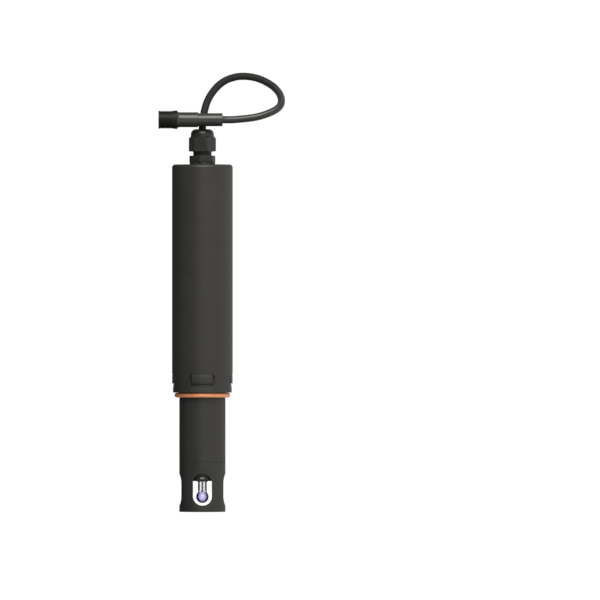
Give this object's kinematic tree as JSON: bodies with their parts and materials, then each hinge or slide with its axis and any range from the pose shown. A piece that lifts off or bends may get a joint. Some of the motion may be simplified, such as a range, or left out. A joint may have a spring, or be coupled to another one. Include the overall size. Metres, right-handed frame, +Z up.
{
  "type": "ph electrode",
  "caption": "Digital pH electrode: round black housing with snap latches, sealed electrode cartridge, slotted tip guard, glass bulb, cable gland and a short cable with a round connector.",
  "frame": {"origin": "on the ground under the middle of the probe's length, without the free cable and its connector", "axes": "+Y along the probe from its tip guard to its cable gland, +Z up, away from the side that it lies on"},
  "size_m": [0.1009, 0.3516, 0.0484],
  "materials": {
    "black_moulding": "fine moulded texture",
    "black_rubber": "smooth",
    "orange_rubber": "smooth",
    "cable_jacket": "smooth jacket",
    "glass": "clear, thin",
    "buffer_liquid": "liquid, stands in as a clear solid",
    "gel": "gel, stands in as a solid",
    "ceramic": "porous ceramic",
    "silver": "drawn wire",
    "gold": "gold plated",
    "steel": "plain",
    "white_moulding": "moulded",
    "green_laminate": "solder resist",
    "chip_resin": "moulded resin"
  },
  "bodies": {
    "probe": {"board_carrier": "white_moulding", "buffer_fill": "buffer_liquid", "cable_conductor_1": "white_moulding", "cable_conductor_2": "white_moulding", "cable_conductor_3": "white_moulding", "cable_conductor_4": "white_moulding", "cable_tail": "cable_jacket", "capacitor_1": "steel", "capacitor_2": "steel", "cartridge_body": "black_moulding", "cartridge_head": "black_moulding", "cartridge_lead_1": "silver", "cartridge_lead_2": "silver", "cartridge_lead_3": "silver", "cartridge_lead_4": "silver", "ceramic_junction": "ceramic", "chamber_cap": "white_moulding", "circuit_board": "green_laminate", "connector_contact_1": "gold", "connector_contact_2": "gold", "connector_contact_3": "gold", "connector_contact_4": "gold", "connector_front_sleeve": "black_moulding", "connector_insert": "black_moulding", "connector_o_ring": "black_rubber", "connector_rear_sleeve": "black_moulding", "contact_pin_1": "gold", "contact_pin_2": "gold", "contact_pin_3": "gold", "contact_pin_4": "gold", "contact_socket": "black_moulding", "gland_body": "black_moulding", "gland_locknut": "black_moulding", "gland_washer": "black_rubber", "glass_electrode": "glass", "head_o_ring_lower": "black_rubber", "head_o_ring_upper": "black_rubber", "housing": "black_moulding", "input_shield": "steel", "latch_ring": "black_moulding", "microcontroller": "chip_resin", "mounting_o_ring": "orange_rubber", "reference_electrode": "silver", "reference_gel": "gel", "signal_cable": "cable_jacket", "silver_wire": "silver", "socket_ribbon": "white_moulding", "stem_seal": "black_rubber", "temperature_sensor": "steel", "terminal_block": "white_moulding", "transceiver_chip": "chip_resin"},
    "latch_front": {"latch_arm_front": "black_moulding"},
    "latch_right": {"latch_arm_right": "black_moulding"},
    "latch_back": {"latch_arm_back": "black_moulding"},
    "latch_left": {"latch_arm_left": "black_moulding"},
    "seal": {"gland_seal": "black_rubber"},
    "nut": {"gland_nut": "black_moulding"},
    "guard": {"tip_guard": "black_moulding"},
    "coupling": {"connector_coupling": "black_moulding"}
  },
  "joints": [
    {"name": "latch_front_press", "type": "hinge", "parent": "probe", "child": "latch_front", "pos_m": [0, -0.02255, 0.04356], "axis": [1, 0, 0], "range_deg": [0, 6.2], "stiffness_Nm_per_rad": 0.6},
    {"name": "latch_right_press", "type": "hinge", "parent": "probe", "child": "latch_right", "pos_m": [0.01935, -0.02255, 0.02421], "axis": [0, 0, -1], "range_deg": [0, 6.2], "stiffness_Nm_per_rad": 0.6},
    {"name": "latch_back_press", "type": "hinge", "parent": "probe", "child": "latch_back", "pos_m": [0, -0.02255, 0.00486], "axis": [-1, 0, 0], "range_deg": [0, 6.2], "stiffness_Nm_per_rad": 0.6},
    {"name": "latch_left_press", "type": "hinge", "parent": "probe", "child": "latch_left", "pos_m": [-0.01935, -0.02255, 0.02421], "axis": [0, 0, 1], "range_deg": [0, 6.2], "stiffness_Nm_per_rad": 0.6},
    {"name": "nut_travel", "type": "slide", "parent": "probe", "child": "seal", "axis": [0, 1, 0], "range_m": [0, 0.00141]},
    {"name": "nut_turn", "type": "hinge", "parent": "seal", "child": "nut", "pos_m": [0, 0.14425, 0.02421], "axis": [0, 1, 0], "range_deg": [0, 360]},
    {"name": "guard_pull", "type": "slide", "parent": "probe", "child": "guard", "axis": [0, -1, 0], "range_m": [0, 0.0145]},
    {"name": "coupling_turn", "type": "hinge", "parent": "probe", "child": "coupling", "pos_m": [-0.0278, 0.16045, 0.03276], "axis": [1, 0, 0], "continuous": true}
  ],
  "couplings": [
    {"joint": "nut_turn", "follows": "nut_travel", "rad_per_m": 4456}
  ]
}
